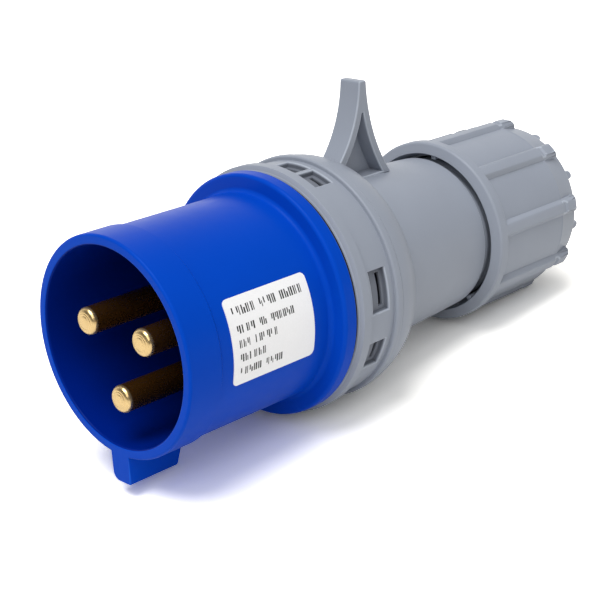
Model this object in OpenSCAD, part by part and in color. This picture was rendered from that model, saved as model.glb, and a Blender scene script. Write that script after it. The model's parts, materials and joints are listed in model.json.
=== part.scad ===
// Industrial pin and sleeve plug, three contacts, lying on a table as it comes to rest.
// Each sub-part is modelled about the plug's own axis, with z = 0 at the rim of the mouth,
// z growing towards the cable end and -y as the side of the latch fin. lay_down() then puts
// the whole plug on the table: mouth towards -Y, fin up, origin under the middle of the part.

/* [Shroud] */
// Inner radius of the mouth that the connector enters
mouth_r = 21.7; // [21.3:0.1:22.2]
// Depth of the mouth, from the rim to the contact plate
mouth_depth = 39; // [37:0.5:39.5]
// Wall of the sleeve
sleeve_wall = 1.9; // [1.6:0.1:2.2]
// Height of the thicker band at the rim above the sleeve
rim_band_h = 0.5; // [0.3:0.1:0.8]
// Length of the rim band
rim_band_len = 8.4; // [5:0.2:11]
// Length of the sleeve, from the rim to the flange
sleeve_len = 40.4; // [40:0.2:42]
// Radius of the round edges of the rim
rim_round = 0.6; // [0.3:0.1:0.8]
// Height of the flange above the sleeve
flange_h = 4.1; // [3.5:0.1:4.6]
// Thickness of the flange
flange_w = 3.6; // [3.2:0.2:5]
// Radius of the flange's round front edge
flange_round = 0.9; // [0.6:0.1:1.8]
// Radius of the fillet between sleeve and flange
flange_fillet = 1.2; // [0.6:0.1:1.8]

/* [Key] */
// Width of the polarising key under the mouth
key_w = 5.6; // [4.8:0.2:6.4]
// Height of the key above the rim band
key_h = 6.1; // [5.4:0.1:6.5]
// Length of the key's underside, from the rim
key_len = 13.2; // [10:0.2:14]
// How far the key's rear end slopes back
key_slope = 2.2; // [1:0.2:3]
// Radius of the key's round lower edge
key_round = 2; // [0.6:0.2:2.4]
// Radius of the key's sharper lower edge
key_edge = 0.5; // [0.3:0.1:0.8]

/* [Contacts] */
// Radius of a contact pin
pin_r = 3; // [2.4:0.1:3.2]
// Radius of the circle on which the pins stand
pin_circle_r = 10; // [9.6:0.1:10.4]
// Distance from the plug's axis down to the middle of that circle
pin_drop = 1.4; // [0:0.1:1.6]
// Distance of the pin tips behind the rim
pin_setback = 0.4; // [0.2:0.2:3]
// Radius of the round edge of a pin's tip
pin_round = 1.1; // [0.6:0.1:1.6]
// Height of the shoulder at a pin's foot, in front of the contact plate
shoulder_len = 0.4; // [0.2:0.1:0.8]
// How far the shoulder is wider than the pin
shoulder_step = 0.4; // [0.2:0.1:0.8]
// Radius of a pin's terminal barrel
barrel_r = 4.7; // [4.4:0.1:4.9]
// Length of a terminal barrel
barrel_len = 13.5; // [12:0.5:15]
// Radius of the wire hole in a barrel
wire_hole_r = 2.1; // [1.6:0.1:2.4]
// Depth of the wire hole
wire_hole_depth = 12; // [10:0.5:12.5]
// Radius of a terminal screw's thread
terminal_screw_r = 1.6; // [1.4:0.1:1.8]
// Radius of a terminal screw's head
terminal_head_r = 2.8; // [2.4:0.1:3]
// Height of a terminal screw's head
terminal_head_h = 2; // [1.4:0.1:2.2]

/* [Contact carrier] */
// Thickness of the contact plate
plate_w = 4.5; // [4:0.1:5]
// Least wall of the core round the terminals
core_wall = 1.1; // [0.9:0.1:1.5]
// Wall of the spigot
spigot_wall = 2.2; // [1.8:0.1:2.6]
// Length of the spigot behind the flange
spigot_len = 7; // [5:0.5:8]
// Thickness of the terminal cover
cover_w = 2.8; // [2.2:0.1:3.2]
// Radius of a cover screw's thread
cover_screw_r = 1.4; // [1.2:0.1:1.6]
// Radius of a cover screw's head
cover_head_r = 2.5; // [2.2:0.1:2.8]
// Height of a cover screw's head
cover_head_h = 1.6; // [1.2:0.1:2]
// Length of a cover screw under its head
cover_screw_len = 10; // [8:0.5:12]
// Radius of the circle on which the cover screws stand
cover_screw_circle_r = 12; // [11.6:0.1:12.6]

/* [Label] */
// Distance from the rim to the label
label_at = 12; // [10:0.5:14]
// Length of the label along the plug
label_len = 23.2; // [20:0.2:25]
// Angle that the label covers round the sleeve
label_sweep = 44.5; // [36:0.5:50]
// Angle from the fin to the middle of the label
label_angle = 83; // [70:1:96]
// Radius of the label's corners
label_corner_r = 1.2; // [0.6:0.1:2]
// Thickness of the label
label_t = 0.18; // [0.1:0.02:0.3]

/* [Gasket] */
// Thickness of the gasket behind the flange
gasket_w = 0.9; // [0.6:0.1:1.2]
// How far the gasket stays inside the flange's edge
gasket_inset = 0.7; // [0.5:0.1:1.1]

/* [Housing collar] */
// Length of the collar
collar_len = 20.2; // [19.4:0.2:22]
// How far the recessed band lies inside the flange's edge
band_step = 0.3; // [0:0.1:0.6]
// Height of the front bead above the recessed band
front_bead_h = 1.1; // [0.8:0.1:1.3]
// Width of the front bead with its chamfer
front_bead_w = 3.2; // [2.4:0.1:3.6]
// Length of the chamfer at the collar's front
front_chamfer = 0.7; // [0.4:0.1:1]
// Height of the rear bead above the recessed band
rear_bead_h = 1; // [0.7:0.1:1.3]
// Distance from the collar's front to the rear bead
rear_bead_at = 11.4; // [10.8:0.1:11.8]
// Width of the rear bead
rear_bead_w = 2.2; // [1.6:0.1:2.6]
// Radius of the round edges of the beads
bead_round = 0.6; // [0.3:0.1:0.7]
// Height of the smooth tail's rear end below the rear bead
tail_drop = 2; // [1.4:0.1:2.6]
// Wall of the collar under the recessed band
collar_wall = 2.1; // [1.9:0.1:2.6]
// Depth of the lock windows
window_depth = 1.2; // [0.7:0.1:1.4]
// Length of the lock windows along the plug
window_len = 5; // [4:0.2:5.2]
// Distance from the lock windows to the rear bead
window_margin = 1.7; // [1:0.1:2]
// Width of the slit in the floor of each window
slit_w = 1.1; // [0.5:0.1:1.4]
// Distance from that slit to the window's rear side
slit_edge = 0.8; // [0.4:0.1:1.2]

/* [Housing neck] */
// Length of the conical neck behind the collar
neck_len = 34.4; // [32:0.2:36]
// How far the neck lies inside the collar's rear edge
neck_step = 5.5; // [5:0.1:6]
// How much the neck narrows towards the thread
neck_taper = 1.9; // [1.2:0.1:2.2]
// Wall of the neck
neck_wall = 2.2; // [1.8:0.1:2.4]
// How far the root of the thread lies inside the neck's end
thread_step = 1.6; // [1.4:0.1:1.8]
// Height left for the thread's ridges
thread_h = 0.6; // [0.4:0.1:0.7]
// Length of the thread
thread_len = 18.4; // [17:0.2:20]
// Wall between the thread's root and the seat for the cable seal
seat_wall = 1.8; // [1.6:0.1:2.2]
// Depth of the seat for the cable seal
seat_depth = 13; // [11:0.5:13.5]
// Height of the lip at the bottom of the seat
lip_h = 2.6; // [1.6:0.1:3.6]
// Thickness of that lip
lip_w = 2.4; // [1.6:0.2:3]

/* [Latch fin] */
// Height of the fin above the neck
fin_height = 21.8; // [20:0.2:25]
// Width of the fin across the plug
fin_w = 6; // [5:0.2:7]
// Distance from the collar's rear edge to the middle of the fin's top
fin_at = 9.6; // [9:0.2:11]
// Thickness of the fin at its top
fin_tip_w = 2.3; // [2:0.1:3]
// Radius of the fin's hollow front face
fin_front_r = 28.5; // [26:0.5:32]
// Radius of the fin's hollow rear face
fin_rear_r = 40.5; // [36:0.5:46]
// Radius of the fin's round top edges
fin_round = 0.5; // [0.3:0.1:0.8]
// Thickness of the fin's front and rear legs
fin_leg_w = 2; // [1.6:0.1:2.4]
// Thickness of the web that closes the far side of the fin's pocket
fin_web_w = 2; // [1.4:0.1:2.6]
// How far the pocket's floor is sunk into the neck
fin_sink = 0.5; // [0.2:0.1:0.8]
// Distance from the fin's top down to the pocket's narrow upper end
fin_head = 7.4; // [6.8:0.2:9]

/* [Gland nut] */
// Length of the nut
nut_len = 35.8; // [35:0.2:37.4]
// Length of the housing's thread that the nut covers at rest
nut_cover = 17.5; // [16.5:0.1:18.5]
// Wall of the nut between its thread and its outside
nut_wall = 3; // [2.8:0.1:3.4]
// Height of the ring at the nut's mouth above the body
nut_ring_h = 1.3; // [1:0.1:1.6]
// Width of that ring
nut_ring_w = 3.6; // [2.6:0.1:4]
// How far the ring's front face slopes back
nut_ring_lead = 0.5; // [0:0.1:0.8]
// Radius of the round edges of the ring
nut_ring_round = 0.8; // [0.4:0.1:1]
// Length of the conical rear end
nut_cone_len = 8.2; // [7.6:0.2:9.4]
// How much the nut narrows over that end
nut_cone_drop = 1.6; // [1.2:0.1:2.2]
// Gap between the neck and the nut's mouth
nut_mouth_gap = 0.8; // [0.6:0.1:1.2]
// Depth of the mouth before the thread
nut_skirt = 4.9; // [4:0.1:5.5]
// Height of the two lugs inside the mouth
lug_h = 0.6; // [0.4:0.1:0.7]
// Size of those lugs round the mouth
lug_w = 1.4; // [0.8:0.1:2]
// How far the nut's rear opening lies inside the fingers' tips
nut_exit_step = 0.8; // [0.5:0.1:1.2]
// Thickness of the nut's rear wall
nut_rear_wall = 3.2; // [2.6:0.2:3.6]
// Number of grip ribs
rib_count = 9; // [7:2:13]
// Height of the ribs above the nut's body
rib_h = 1.2; // [0.9:0.1:1.5]
// Depth of the groove where the conical end's bead crosses a rib
rib_notch = 0.4; // [0.2:0.1:0.6]
// Width of a rib at its top
rib_top_w = 2.6; // [2:0.1:3]
// Width of a rib where it meets the body
rib_foot_w = 4.2; // [3.4:0.1:4.6]
// Distance from the nut's rear face to the ribs' rear ends
rib_setback = 2.6; // [2:0.1:4]
// Radius of the ribs' round rear ends
rib_round = 1.5; // [0.8:0.1:2]
// Size of the small stops on the rear face, between the ribs
stop_w = 2.2; // [1.6:0.1:2.6]
// How far those stops stand out
stop_h = 1.7; // [1:0.1:2]

/* [Cable gland] */
// Radius of the hole for the cable in the inner seal ring
cable_r = 5; // [3.5:0.1:6]
// Outer radius of the inner seal ring, which tears out for a thick cable
seal_split_r = 7.5; // [7:0.1:8]
// Length by which the seal stands out of its seat
seal_proud = 0.3; // [0.2:0.1:0.6]
// Thickness of the slip washer
washer_w = 1; // [0.6:0.1:1.4]
// Length of the clamp's base ring
clamp_base_len = 3; // [2.4:0.1:3.4]
// Gap between the finger tips and the nut's rear wall, beyond the running gap
finger_tip_gap = 0.5; // [0.2:0.1:1]
// How far the fingers stand inside the base's edge at their roots
finger_root_step = 0.4; // [0.2:0.1:0.8]
// How much the fingers lean in towards their tips
finger_lean = 1.9; // [1.4:0.1:2.2]
// Thickness of the fingers at their tips
finger_wall = 3.4; // [3:0.1:4]
// Number of fingers
finger_count = 8; // [6:1:10]
// Width of the slits between the fingers
finger_slit_w = 1.6; // [1:0.1:2]
// Height of the gripping ridge inside the finger tips
grip_ridge = 1; // [0.6:0.1:1.4]

/* [Clearances] */
// Gap between pieces that lie still against each other
seat_gap = 0.1; // [0.05:0.05:0.2]
// Gap round pieces that slide or turn
running_gap = 0.3; // [0.25:0.05:0.4]

/* [Hidden] */

$fn = 96;
eps = 0.02;

// Clock angles of the pieces, from the fin and positive towards +X
line_angle = -60;
neutral_angle = 63;
earth_angle = 176;
key_angle = 180;
cover_screw_angles = [-120, 120];
// Lock windows: middle angle and sweep of each, repeated after half a turn
window_sets = [[3, 14], [18.5, 12], [81.5, 20], [114, 14.5]];
// Angle by which a slit ends short of its window's sides
slit_inset = 2;
// Clock angles of the lugs in the nut's mouth
lug_angles = [5, 139];
// How far a cutter reaches past the surface that it cuts
cut_past = 4;

// Radii, each built on the one inside or outside it
sleeve_r = mouth_r + sleeve_wall;
rim_band_r = sleeve_r + rim_band_h;
flange_r = sleeve_r + flange_h;
key_r = rim_band_r + key_h;
gasket_r = flange_r - gasket_inset;
band_r = flange_r - band_step;
front_bead_r = band_r + front_bead_h;
rear_bead_r = band_r + rear_bead_h;
collar_end_r = rear_bead_r - tail_drop;
collar_bore_r = band_r - collar_wall;
spigot_r = collar_bore_r - running_gap;
shoulder_r = pin_r + shoulder_step;
core_r = pin_circle_r + pin_drop + barrel_r + core_wall;
neck_front_r = collar_end_r - neck_step;
neck_rear_r = neck_front_r - neck_taper;
thread_r = neck_rear_r - thread_step;
seat_r = thread_r - seat_wall;
lip_r = seat_r - lip_h;
fin_top = neck_front_r + fin_height;
fin_floor = neck_front_r - fin_sink;
clamp_r = seat_r - running_gap;
finger_root_r = clamp_r - finger_root_step;
finger_tip_r = finger_root_r - finger_lean;
clamp_bore_r = finger_tip_r - finger_wall;
nut_exit_r = finger_tip_r - nut_exit_step;
nut_mouth_r = neck_rear_r + nut_mouth_gap;
nut_bore_r = thread_r + thread_h + running_gap;
nut_body_r = nut_bore_r + nut_wall;
nut_ring_r = nut_body_r + nut_ring_h;
nut_funnel = (nut_mouth_r - nut_bore_r) * 0.6;
nut_rear_r = nut_body_r - nut_cone_drop;
rib_r = nut_body_r + rib_h;

// Stations along the axis
plate_rear = mouth_depth + plate_w;
flange_rear = sleeve_len + flange_w;
spigot_end = flange_rear + spigot_len;
collar_front = flange_rear + gasket_w;
collar_rear = collar_front + collar_len;
core_end = plate_rear + barrel_len;
cover_front = core_end + seat_gap;
cover_rear = cover_front + cover_w;
terminal_screw_at = plate_rear + barrel_len * 0.74;
shoulder_at = mouth_depth - shoulder_len;
window_at = collar_front + rear_bead_at - window_len - window_margin;
thread_start = collar_rear + neck_len;
neck_end = thread_start + thread_len;
seat_front = neck_end - seat_depth;
seal_front = seat_front + seat_gap;
seal_end = neck_end + seal_proud;
washer_front = seal_end + seat_gap;
clamp_front = washer_front + washer_w + seat_gap;
finger_root = clamp_front + clamp_base_len;
nut_front = neck_end - nut_cover;
nut_thread_start = nut_front + nut_skirt;
nut_rear = nut_front + nut_len;
nut_cone_start = nut_rear - nut_cone_len;
finger_end = nut_rear - nut_rear_wall - running_gap - finger_tip_gap;
finger_len = finger_end - finger_root;
rib_end = nut_rear - rib_setback;
fin_mid = collar_rear + fin_at;
// Height at which both hollow faces of the fin stand upright
fin_arc_h = fin_top + 1.2;
// Length of the block from which the hollow faces are cut
fin_block_len = 30;
// Thickness of the wall between the collar's bore and its rear edge
collar_rear_wall = 5.5;

// How the plug lies: on the rear bead of the collar and on the two lowest ribs of the nut
rib_corner_angle = 180 / rib_count - asin(rib_top_w / 2 / rib_r);
bead_contact_s = collar_front + rear_bead_at + rear_bead_w - bead_round;
bead_contact_r = rear_bead_r - bead_round;
rib_contact_s = rib_end - rib_round;
rib_contact_r = (rib_r - rib_round) * cos(rib_corner_angle);
rib_contact_round = rib_round * cos(rib_corner_angle);
contact_run = rib_contact_s - bead_contact_s;
contact_drop = bead_contact_r - rib_contact_r;
rest_tilt = atan2(contact_drop, contact_run)
    + asin((bead_round - rib_contact_round) / norm([contact_run, contact_drop]));
axis_h = bead_contact_s * sin(rest_tilt) + bead_contact_r * cos(rest_tilt) + bead_round;
stop_circle_r = nut_rear_r - stop_w / 2 - 0.4;
front_reach = -key_r * sin(rest_tilt);
rear_reach = (nut_rear + stop_h) * cos(rest_tilt)
    + (stop_circle_r * cos(180 / rib_count) + stop_w / 2) * sin(rest_tilt);
mid_y = (front_reach + rear_reach) / 2;

// Points of an arc about centre c, from angle a0 to a1
function arc(c, r, a0, a1, n = 8) =
    [for (i = [0:n]) let (a = a0 + (a1 - a0) * i / n) c + r * [cos(a), sin(a)]];

// Radius of the neck's outside at station s
function neck_r(s) =
    neck_front_r + (neck_rear_r - neck_front_r) * (s - collar_rear) / neck_len;

// Puts the plug, modelled about its axis, on the table
module lay_down() {
    translate([0, -mid_y, axis_h]) rotate([-90 - rest_tilt, 0, 0]) children();
}

// Turns a shape that stands on the x axis to a clock angle from the fin
module at_clock(angle) {
    rotate([0, 0, angle - 90]) children();
}

// Turns a contact's shape to its place on the contacts' circle
module at_contact(angle) {
    translate([0, pin_drop, 0]) at_clock(angle) translate([pin_circle_r, 0, 0]) children();
}

// Tube or disc between two stations
module ring(r_out, r_in, from, to) {
    translate([0, 0, from]) difference() {
        cylinder(h = to - from, r = r_out);
        if (r_in > 0) translate([0, 0, -eps]) cylinder(h = to - from + 2 * eps, r = r_in);
    }
}

// ---------- shroud ----------

// Outline of sleeve, flange and contact plate in [radius, station]
module shroud_section() {
    step = rim_band_r - sleeve_r;
    polygon(concat(
        [[0, mouth_depth], [mouth_r, mouth_depth]],
        arc([mouth_r + rim_round, rim_round], rim_round, 180, 270),
        arc([rim_band_r - rim_round, rim_round], rim_round, 270, 360),
        [[rim_band_r, rim_band_len], [sleeve_r, rim_band_len + step]],
        arc([sleeve_r + flange_fillet, sleeve_len - flange_fillet], flange_fillet, 180, 90),
        arc([flange_r - flange_round, sleeve_len + flange_round], flange_round, 270, 360),
        [[flange_r, flange_rear], [spigot_r, flange_rear], [spigot_r, spigot_end],
         [spigot_r - spigot_wall, spigot_end], [spigot_r - spigot_wall, plate_rear], [0, plate_rear]]
    ));
}

// Cross-section of the key, hanging from the sleeve
module key_section() {
    top = mouth_r + 1;
    polygon(concat(
        [[top, -key_w / 2]],
        arc([key_r - key_edge, -key_w / 2 + key_edge], key_edge, -90, 0),
        arc([key_r - key_round, key_w / 2 - key_round], key_round, 0, 90),
        [[top, key_w / 2]]
    ));
}

module key() {
    at_clock(key_angle) difference() {
        linear_extrude(height = key_len + key_slope) key_section();
        translate([key_r, 0, key_len]) rotate([0, atan2(key_slope, key_r - rim_band_r), 0])
            translate([-key_r, -key_w, 0]) cube([2 * key_r, 2 * key_w, 4 * key_slope]);
    }
}

// Core behind the plate, with a pocket and a screw opening for each terminal
module terminal_core() {
    ring(core_r, 0, plate_rear - eps, core_end);
}

module terminal_openings() {
    for (angle = [line_angle, neutral_angle, earth_angle]) at_contact(angle) {
        translate([0, 0, mouth_depth - 1]) cylinder(h = plate_w + 2, r = shoulder_r + seat_gap);
        translate([0, 0, plate_rear]) cylinder(h = barrel_len + 1, r = barrel_r + seat_gap);
        translate([0, 0, terminal_screw_at]) rotate([0, 90, 0])
            cylinder(h = core_r - pin_circle_r + terminal_head_h, r = terminal_head_r + seat_gap);
    }
    for (angle = cover_screw_angles) at_clock(angle)
        translate([cover_screw_circle_r, 0, cover_rear - cover_screw_len - 1])
            cylinder(h = cover_screw_len, r = cover_screw_r + seat_gap);
}

module shroud() {
    color("royalblue") lay_down() difference() {
        union() {
            rotate_extrude() shroud_section();
            difference() {
                key();
                translate([0, 0, -1]) cylinder(h = key_len + key_slope + 2, r = mouth_r + rim_round);
            }
            terminal_core();
        }
        terminal_openings();
    }
}

// ---------- label ----------

module label() {
    half = (sleeve_r + label_t) * sin(label_sweep / 2);
    color("white") lay_down() intersection() {
        ring(sleeve_r + eps + label_t, sleeve_r + eps, label_at, label_at + label_len);
        at_clock(label_angle) translate([0, 0, label_at]) rotate([90, 0, 90])
            linear_extrude(height = 2 * sleeve_r) polygon(concat(
                arc([half - label_corner_r, label_corner_r], label_corner_r, -90, 0),
                arc([half - label_corner_r, label_len - label_corner_r], label_corner_r, 0, 90),
                arc([-half + label_corner_r, label_len - label_corner_r], label_corner_r, 90, 180),
                arc([-half + label_corner_r, label_corner_r], label_corner_r, 180, 270)
            ));
    }
}

// ---------- contacts ----------

module contact_pin(angle) {
    color("goldenrod") lay_down() at_contact(angle) difference() {
        rotate_extrude() polygon(concat(
            [[0, pin_setback]],
            arc([pin_r - pin_round, pin_setback + pin_round], pin_round, 270, 360),
            [[pin_r, shoulder_at], [shoulder_r, shoulder_at], [shoulder_r, plate_rear],
             [barrel_r, plate_rear], [barrel_r, core_end], [0, core_end]]
        ));
        translate([0, 0, core_end - wire_hole_depth]) cylinder(h = wire_hole_depth + 1, r = wire_hole_r);
        translate([0, 0, terminal_screw_at]) rotate([0, 90, 0])
            cylinder(h = 2 * barrel_r, r = terminal_screw_r + seat_gap);
    }
}

module terminal_screw(angle) {
    head_at = barrel_r + seat_gap;
    color("silver") lay_down() at_contact(angle) translate([0, 0, terminal_screw_at]) rotate([0, 90, 0])
        difference() {
            union() {
                cylinder(h = barrel_r + 1, r = terminal_screw_r);
                translate([0, 0, head_at]) cylinder(h = terminal_head_h, r = terminal_head_r);
            }
            screw_slot(head_at + terminal_head_h, terminal_head_r);
        }
}

// Driver slot cut into a screw head that ends at the given height
module screw_slot(top, head_r) {
    translate([-head_r - 1, -0.4, top - 0.9]) cube([2 * head_r + 2, 0.8, 2]);
}

module terminal_cover() {
    color("royalblue") lay_down() difference() {
        ring(core_r, 0, cover_front, cover_rear);
        for (angle = [line_angle, neutral_angle, earth_angle]) at_contact(angle)
            translate([0, 0, cover_front - 1]) {
                cylinder(h = cover_w + 2, r = wire_hole_r + 0.3);
                translate([0, 0, 1 + cover_w / 2])
                    cylinder(h = cover_w, r1 = wire_hole_r + 0.3, r2 = wire_hole_r + 0.3 + cover_w);
            }
        for (angle = cover_screw_angles) at_clock(angle)
            translate([cover_screw_circle_r, 0, cover_front - 1])
                cylinder(h = cover_w + 2, r = cover_screw_r + seat_gap);
    }
}

module cover_screw(angle) {
    head_at = cover_rear + seat_gap;
    color("silver") lay_down() at_clock(angle) translate([cover_screw_circle_r, 0, 0]) difference() {
        union() {
            translate([0, 0, head_at - cover_screw_len]) cylinder(h = cover_screw_len + 0.5, r = cover_screw_r);
            translate([0, 0, head_at]) cylinder(h = cover_head_h, r = cover_head_r);
        }
        screw_slot(head_at + cover_head_h, cover_head_r);
    }
}

// ---------- housing ----------

module flange_gasket() {
    color("black") lay_down() ring(gasket_r, spigot_r + seat_gap, flange_rear, collar_front);
}

// Outline of collar and neck in [radius, station]
module housing_section() {
    f = collar_front;
    b0 = f + rear_bead_at;
    b1 = b0 + rear_bead_w;
    polygon(concat(
        [[collar_bore_r, f], [gasket_r + 0.3, f], [front_bead_r - 0.1, f + front_chamfer - 0.1]],
        [[front_bead_r, f + front_chamfer + 0.1], [front_bead_r, f + front_bead_w - 0.2]],
        [[front_bead_r - 0.2, f + front_bead_w], [band_r, f + front_bead_w + 0.1], [band_r, b0]],
        arc([rear_bead_r - bead_round, b0 + bead_round], bead_round, 285, 360),
        arc([rear_bead_r - bead_round, b1 - bead_round], bead_round, 0, 60),
        collar_tail(),
        [[neck_r(collar_rear - 0.6), collar_rear - 0.6], [neck_rear_r, thread_start],
         [thread_r, thread_start], [thread_r, neck_end - 0.6], [thread_r - 0.6, neck_end],
         [seat_r, neck_end], [seat_r, seat_front], [lip_r, seat_front], [lip_r, seat_front - lip_w],
         [thread_r - neck_wall, seat_front - lip_w - 1],
         [neck_front_r - neck_wall, collar_rear - collar_rear_wall],
         [collar_bore_r, collar_rear - collar_rear_wall]]
    ));
}

// Smooth rear band of the collar, falling in a flat arc to its rounded edge
function collar_tail() =
    let (s0 = collar_front + rear_bead_at + rear_bead_w, s1 = collar_rear,
         r0 = rear_bead_r - 0.35, r1 = collar_end_r, run = s1 - s0, n = 10)
    concat(
        [[r0 - 0.25, s0 - 0.1]],
        [for (i = [0:n]) let (t = i / n) [r0 - (r0 - r1) * t * t, s0 + 0.15 + (run - 0.55) * t]],
        [[r1 - 0.35, s1]]
    );

// Side outline of the latch fin in [height above the axis, station]
module fin_outline() {
    front = fin_mid - fin_tip_w / 2;
    rear = fin_mid + fin_tip_w / 2;
    difference() {
        translate([neck_front_r - neck_wall / 2, collar_rear - collar_rear_wall + 1])
            square([fin_top - neck_front_r + neck_wall / 2, fin_block_len]);
        translate([fin_arc_h, front - fin_front_r]) circle(r = fin_front_r, $fn = 180);
        translate([fin_arc_h, rear + fin_rear_r]) circle(r = fin_rear_r, $fn = 180);
        translate([fin_top - fin_round, front - 1]) square([fin_round + 1, fin_round + 1]);
        translate([fin_top - fin_round, rear - fin_round]) square([fin_round + 1, fin_round + 1]);
    }
    for (s = [front + fin_round, rear - fin_round])
        translate([fin_top - fin_round, s]) circle(r = fin_round, $fn = 32);
}

// Outline of the pocket between the fin's two legs
module pocket_outline() {
    difference() {
        translate([fin_floor, collar_rear]) square([fin_top - fin_head - fin_floor, fin_block_len]);
        translate([fin_arc_h, fin_mid - fin_tip_w / 2 - fin_front_r])
            circle(r = fin_front_r + fin_leg_w, $fn = 180);
        translate([fin_arc_h, fin_mid + fin_tip_w / 2 + fin_rear_r])
            circle(r = fin_rear_r + fin_leg_w, $fn = 180);
    }
}

module latch_fin() {
    at_clock(0) rotate([90, 0, 0]) {
        translate([0, 0, -fin_w / 2]) linear_extrude(height = fin_w) fin_outline();
    }
}

module fin_pocket() {
    at_clock(0) rotate([90, 0, 0])
        translate([0, 0, -fin_w / 2 - 1]) linear_extrude(height = fin_w - fin_web_w + 1) pocket_outline();
}

// Lock windows in the collar: a blind recess with a slit through the wall at its rear
module lock_windows() {
    for (turn = [0, 180]) for (w = window_sets) at_clock(w[0] + turn) {
        translate([0, 0, window_at]) window_block(w[1], band_r - window_depth, window_len);
        translate([0, 0, window_at + window_len - slit_edge - slit_w])
            window_block(w[1] - 2 * slit_inset, collar_bore_r - 1, slit_w);
    }
}

// Wedge of a ring, centred on the x axis, from radius r outwards
module window_block(sweep, r, len) {
    rotate([0, 0, -sweep / 2]) rotate_extrude(angle = sweep) translate([r, 0])
        square([collar_wall + cut_past, len]);
}

module housing() {
    color("slategray") lay_down() difference() {
        union() {
            rotate_extrude() housing_section();
            latch_fin();
        }
        fin_pocket();
        lock_windows();
        translate([0, 0, collar_front - 1]) cylinder(h = collar_len - collar_rear_wall + 1, r = collar_bore_r);
    }
}

// ---------- cable gland ----------

module cable_seal() {
    color("black") lay_down() ring(seat_r - seat_gap, seal_split_r + seat_gap / 2, seal_front, seal_end);
}

module seal_insert() {
    color("dimgray") lay_down() ring(seal_split_r - seat_gap / 2, cable_r, seal_front, seal_end);
}

module slip_washer() {
    color("white") lay_down() ring(clamp_r, clamp_bore_r, washer_front, washer_front + washer_w);
}

module cable_clamp() {
    color("gray") lay_down() difference() {
        rotate_extrude() polygon([
            [clamp_bore_r, clamp_front], [clamp_r, clamp_front], [clamp_r, finger_root],
            [finger_root_r, finger_root], [finger_tip_r, finger_end],
            [clamp_bore_r - grip_ridge, finger_end], [clamp_bore_r - grip_ridge, finger_end - 1.6],
            [clamp_bore_r, finger_end - 1.6 - grip_ridge]
        ]);
        for (i = [0:finger_count - 1]) rotate([0, 0, i * 360 / finger_count])
            translate([0, -finger_slit_w / 2, finger_root + 0.6])
                cube([clamp_r + 1, finger_slit_w, finger_len + 1]);
    }
}

// Outside of the nut without its ribs, and its stepped bore, in [radius, station]
module nut_section() {
    n = nut_front;
    ring_end = n + nut_ring_w;
    gap = running_gap;
    polygon(concat(
        [[nut_mouth_r, n + 0.2], [nut_mouth_r + 0.2, n]],
        arc([nut_ring_r - nut_ring_round, n + nut_ring_lead + nut_ring_round], nut_ring_round, 290, 360),
        arc([nut_ring_r - 0.5, ring_end - 0.5], 0.5, 0, 90, 4),
        [[nut_body_r, ring_end], [nut_body_r, nut_cone_start - 0.5]],
        [[nut_body_r + 0.15, nut_cone_start - 0.2], [nut_body_r + 0.15, nut_cone_start + 0.1]],
        [[nut_body_r - 0.1, nut_cone_start + 0.5]],
        arc([nut_rear_r - 1.1, nut_rear - 1.2], 1.2, 8, 90, 6),
        [[nut_exit_r + 0.5, nut_rear], [nut_exit_r, nut_rear - 0.5],
         [nut_exit_r, nut_rear - nut_rear_wall],
         [finger_tip_r + gap, finger_end + gap], [finger_root_r + gap, finger_root + gap],
         [clamp_r + gap, finger_root + gap], [clamp_r + gap, neck_end + gap],
         [nut_bore_r, neck_end + gap], [nut_bore_r, nut_thread_start],
         [nut_mouth_r - nut_funnel, nut_thread_start]]
    ));
}

// Two small lugs inside the nut's mouth
module mouth_lugs() {
    for (angle = lug_angles) at_clock(angle)
        translate([nut_mouth_r - nut_funnel / 2 - lug_h, -lug_w / 2, nut_front + lug_h])
            cube([lug_h + 1.2, lug_w, nut_skirt / 2]);
}

// Envelope that gives the ribs their top, the groove across them and their round rear ends
module rib_envelope() {
    j = nut_cone_start;
    rotate_extrude() polygon(concat(
        [[nut_body_r - 2, nut_front + nut_ring_w / 2], [rib_r, nut_front + nut_ring_w / 2]],
        [[rib_r, j - 0.7], [rib_r - rib_notch, j - 0.4], [rib_r - rib_notch, j + 0.5], [rib_r, j + 1]],
        arc([rib_r - rib_round, rib_end - rib_round], rib_round, 0, 90),
        [[nut_body_r - 4, rib_end], [nut_body_r - 2, j]]
    ));
}

module grip_ribs() {
    foot = nut_body_r - 3;
    intersection() {
        rib_envelope();
        for (i = [0:rib_count - 1]) at_clock(i * 360 / rib_count)
            translate([0, 0, nut_front]) linear_extrude(height = nut_len) polygon([
                [foot, -rib_foot_w / 2], [nut_body_r, -rib_foot_w / 2], [rib_r - 0.2, -rib_top_w / 2 - 0.1],
                [rib_r, -rib_top_w / 2 + 0.2], [rib_r + 1, -rib_top_w / 2 + 0.2],
                [rib_r + 1, rib_top_w / 2 - 0.2], [rib_r, rib_top_w / 2 - 0.2],
                [rib_r - 0.2, rib_top_w / 2 + 0.1], [nut_body_r, rib_foot_w / 2], [foot, rib_foot_w / 2]
            ]);
    }
}

// Small round-ended stops on the rear face, one between each pair of ribs
module rear_stops() {
    for (i = [0:rib_count - 1]) at_clock((i + 0.5) * 360 / rib_count)
        translate([stop_circle_r - stop_w / 2, 0, nut_rear - 1]) {
            translate([0, -stop_w / 2, 0]) cube([stop_w, stop_w, 1 + stop_h - stop_w / 2]);
            translate([0, 0, 1 + stop_h - stop_w / 2]) rotate([0, 90, 0]) cylinder(h = stop_w, r = stop_w / 2);
        }
}

module gland_nut() {
    color("slategray") lay_down() union() {
        rotate_extrude() nut_section();
        grip_ribs();
        rear_stops();
        mouth_lugs();
    }
}

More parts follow.
